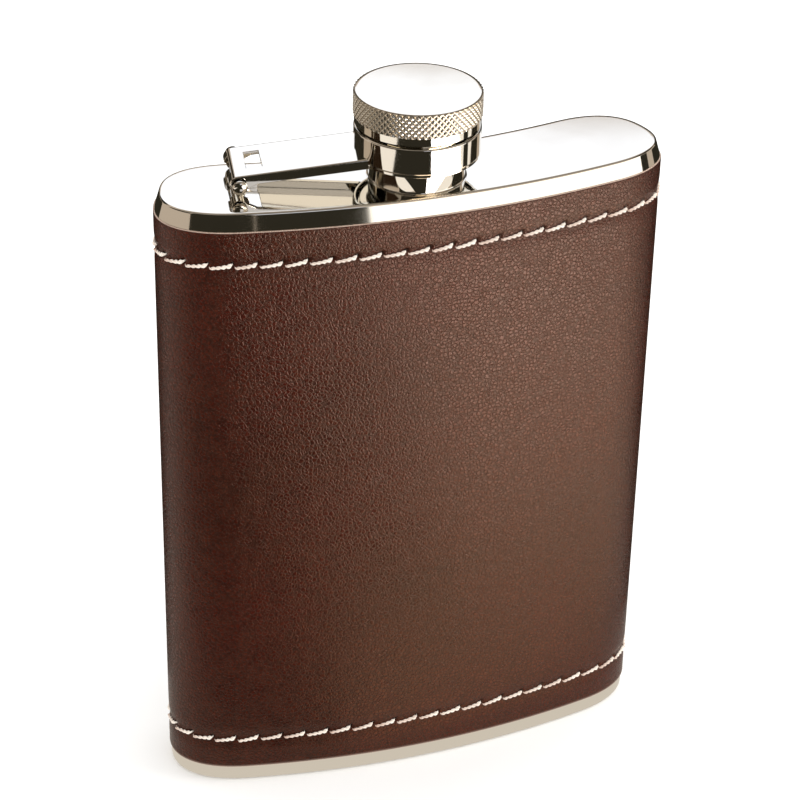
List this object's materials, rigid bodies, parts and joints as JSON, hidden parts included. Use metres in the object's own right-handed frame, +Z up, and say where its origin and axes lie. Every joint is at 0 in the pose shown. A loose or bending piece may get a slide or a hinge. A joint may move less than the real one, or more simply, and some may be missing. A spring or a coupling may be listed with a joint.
{
  "type": "hip flask",
  "caption": "Slim curved hip flask wrapped in stitched brown leather, with polished steel ends and a knurled screw cap held captive on a hinged arm.",
  "frame": {"origin": "on the surface the flask stands on, under the middle of its bounding box", "axes": "+Z up along the flask's height to the cap, -Y out of the bowed front, +X to the right seen from the front, with the hinge on the -X side"},
  "size_m": [0.093, 0.0262, 0.1345],
  "materials": {
    "polished_steel": "mirror-polished stainless steel",
    "knurled_steel": "polished stainless steel with a fine diamond knurl",
    "white_liner": "soft white sealing disc",
    "brown_leather": "smooth dark brown leather with a fine grain and a soft sheen",
    "cream_thread": "thick cream sewing thread"
  },
  "bodies": {
    "flask": {"body_shell": "polished_steel", "top_plate": "polished_steel", "base_plate": "polished_steel", "neck": "polished_steel", "hinge_bracket": "polished_steel", "leather_wrap": "brown_leather", "upper_stitching": "cream_thread", "lower_stitching": "cream_thread"},
    "arm": {"hinge_arm": "polished_steel", "hinge_pin": "polished_steel", "swivel_collar": "polished_steel"},
    "washer": {"thrust_washer": "polished_steel"},
    "cap": {"cap_shell": "knurled_steel", "cap_core": "polished_steel", "cap_liner": "white_liner"}
  },
  "joints": [
    {"name": "arm_hinge", "type": "hinge", "parent": "flask", "child": "arm", "pos_m": [-0.03101, 0.0038, 0.12069], "axis": [-0.1822, -0.9833, 0], "range_deg": [0, 120]},
    {"name": "cap_rise", "type": "slide", "parent": "arm", "child": "washer", "axis": [0, 0, 1], "range_m": [0, 0.003]},
    {"name": "cap_turn", "type": "hinge", "parent": "washer", "child": "cap", "pos_m": [-0.0007, -0.00207, 0.13], "axis": [0, 0, 1], "range_deg": [0, 720]}
  ],
  "couplings": [
    {"joint": "cap_rise", "follows": "cap_turn", "m_per_rad": 0.00023873}
  ]
}
